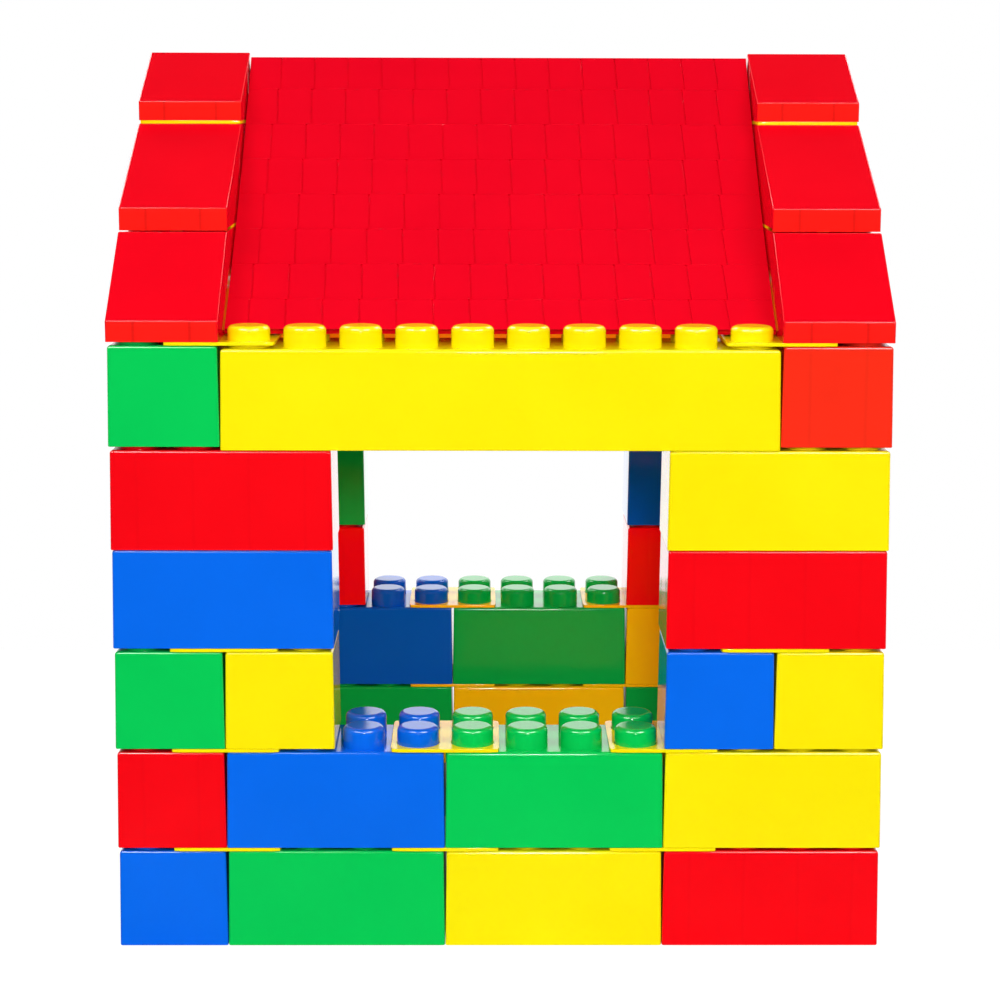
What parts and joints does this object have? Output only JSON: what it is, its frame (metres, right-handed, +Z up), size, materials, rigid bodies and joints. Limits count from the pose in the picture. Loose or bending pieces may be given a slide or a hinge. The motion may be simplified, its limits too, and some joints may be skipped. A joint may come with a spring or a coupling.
{
  "type": "giant building block play house",
  "caption": "Play house built of giant stud-and-socket toy blocks, with window openings, a side doorway, sloped gable blocks and tiled roof panels that lift off.",
  "frame": {"origin": "middle of the house's plan, on the floor", "axes": "+Z up, front wall towards -Y, +X to the right seen from the front"},
  "size_m": [1.0494, 1.0494, 1.2196],
  "materials": {
    "red_plastic": "gloss moulded",
    "yellow_plastic": "gloss moulded",
    "blue_plastic": "gloss moulded",
    "green_plastic": "gloss moulded"
  },
  "bodies": {
    "base_course": {"course_1_front_left_block": "green_plastic", "course_1_front_middle_block": "yellow_plastic", "course_1_front_right_block": "red_plastic", "course_1_green_blocks": "green_plastic", "course_1_yellow_blocks": "yellow_plastic", "course_1_blue_blocks": "blue_plastic", "course_1_plates": "yellow_plastic"},
    "course_2": {"course_2_front_left_block": "blue_plastic", "course_2_front_middle_block": "green_plastic", "course_2_front_right_block": "yellow_plastic", "course_2_blue_blocks": "blue_plastic", "course_2_green_blocks": "green_plastic", "course_2_yellow_blocks": "yellow_plastic", "course_2_red_blocks": "red_plastic", "course_2_plates": "yellow_plastic"},
    "course_3": {"course_3_left_jamb_block": "yellow_plastic", "course_3_right_jamb_block": "blue_plastic", "course_3_red_blocks": "red_plastic", "course_3_green_blocks": "green_plastic", "course_3_yellow_blocks": "yellow_plastic", "course_3_plates": "yellow_plastic"},
    "course_4": {"course_4_left_jamb_block": "blue_plastic", "course_4_right_jamb_block": "red_plastic", "course_4_green_blocks": "green_plastic", "course_4_blue_blocks": "blue_plastic", "course_4_yellow_blocks": "yellow_plastic"},
    "course_5": {"course_5_left_jamb_block": "red_plastic", "course_5_right_jamb_block": "yellow_plastic", "course_5_yellow_blocks": "yellow_plastic", "course_5_red_blocks": "red_plastic", "course_5_green_blocks": "green_plastic", "course_5_plates": "yellow_plastic"},
    "course_6": {"course_6_green_blocks": "green_plastic", "course_6_red_blocks": "red_plastic", "course_6_plates": "yellow_plastic", "front_lintel": "yellow_plastic", "rear_and_door_lintels": "yellow_plastic"},
    "front_sill_plate": {"front_sill_plate": "yellow_plastic"},
    "rear_sill_plate": {"rear_sill_plate": "yellow_plastic"},
    "front_panel": {"front_roof_panel": "red_plastic"},
    "rear_panel": {"rear_roof_panel": "red_plastic"},
    "left_lower_gable": {"left_lower_front_slope": "red_plastic", "left_lower_rear_slope": "red_plastic", "left_lower_infill_blocks": "red_plastic", "left_lower_plates": "yellow_plastic"},
    "left_upper_gable": {"left_upper_front_slope": "red_plastic", "left_upper_rear_slope": "red_plastic", "left_upper_infill_block": "red_plastic", "left_upper_plates": "yellow_plastic"},
    "left_ridge": {"left_ridge_block": "red_plastic"},
    "right_lower_gable": {"right_lower_front_slope": "red_plastic", "right_lower_rear_slope": "red_plastic", "right_lower_infill_blocks": "red_plastic", "right_lower_plates": "yellow_plastic"},
    "right_upper_gable": {"right_upper_front_slope": "red_plastic", "right_upper_rear_slope": "red_plastic", "right_upper_infill_block": "red_plastic", "right_upper_plates": "yellow_plastic"},
    "right_ridge": {"right_ridge_block": "red_plastic"}
  },
  "joints": [
    {"name": "course_2_lift", "type": "slide", "parent": "base_course", "child": "course_2", "axis": [0, 0, 1], "range_m": [0, 0.06]},
    {"name": "course_3_lift", "type": "slide", "parent": "course_2", "child": "course_3", "axis": [0, 0, 1], "range_m": [0, 0.06]},
    {"name": "course_4_lift", "type": "slide", "parent": "course_3", "child": "course_4", "axis": [0, 0, 1], "range_m": [0, 0.06]},
    {"name": "course_5_lift", "type": "slide", "parent": "course_4", "child": "course_5", "axis": [0, 0, 1], "range_m": [0, 0.06]},
    {"name": "course_6_lift", "type": "slide", "parent": "course_5", "child": "course_6", "axis": [0, 0, 1], "range_m": [0, 0.06]},
    {"name": "left_lower_gable_lift", "type": "slide", "parent": "course_6", "child": "left_lower_gable", "axis": [0, 0, 1], "range_m": [0, 0.06]},
    {"name": "left_upper_gable_lift", "type": "slide", "parent": "left_lower_gable", "child": "left_upper_gable", "axis": [0, 0, 1], "range_m": [0, 0.06]},
    {"name": "left_ridge_lift", "type": "slide", "parent": "left_upper_gable", "child": "left_ridge", "axis": [0, 0, 1], "range_m": [0, 0.08]},
    {"name": "right_lower_gable_lift", "type": "slide", "parent": "course_6", "child": "right_lower_gable", "axis": [0, 0, 1], "range_m": [0, 0.06]},
    {"name": "right_upper_gable_lift", "type": "slide", "parent": "right_lower_gable", "child": "right_upper_gable", "axis": [0, 0, 1], "range_m": [0, 0.06]},
    {"name": "right_ridge_lift", "type": "slide", "parent": "right_upper_gable", "child": "right_ridge", "axis": [0, 0, 1], "range_m": [0, 0.08]},
    {"name": "front_panel_lift", "type": "slide", "parent": "course_6", "child": "front_panel", "axis": [0, 0, 1], "range_m": [0, 0.25]},
    {"name": "front_sill_plate_lift", "type": "slide", "parent": "course_2", "child": "front_sill_plate", "axis": [0, 0, 1], "range_m": [0, 0.1]},
    {"name": "rear_panel_lift", "type": "slide", "parent": "course_6", "child": "rear_panel", "axis": [0, 0, 1], "range_m": [0, 0.25]},
    {"name": "rear_sill_plate_lift", "type": "slide", "parent": "course_2", "child": "rear_sill_plate", "axis": [0, 0, 1], "range_m": [0, 0.1]}
  ]
}
